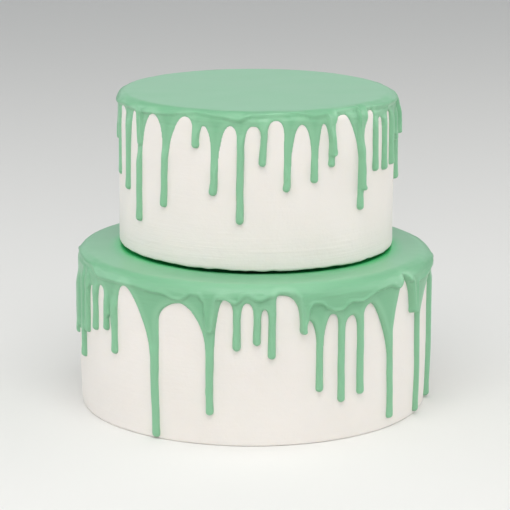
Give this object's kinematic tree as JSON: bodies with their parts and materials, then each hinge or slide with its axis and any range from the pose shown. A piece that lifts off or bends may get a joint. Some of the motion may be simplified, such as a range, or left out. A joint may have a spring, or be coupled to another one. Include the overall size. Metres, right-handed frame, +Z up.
{
  "type": "drip cake",
  "caption": "Round cake in two stacked iced tiers, each with poured glaze that runs down its side in long drips.",
  "frame": {"origin": "middle of the lower tier's flat base", "axes": "+Z up, -Y towards the front that the picture shows, +X to the viewer's right"},
  "size_m": [0.2605, 0.2605, 0.2299],
  "materials": {
    "icing": "smooth white buttercream, matt, with faint spatula marks",
    "glaze": "set green poured glaze, satin"
  },
  "bodies": {
    "root": {"lower_cake": "icing", "lower_glaze": "glaze", "upper_cake": "icing", "upper_glaze": "glaze"}
  },
  "joints": []
}
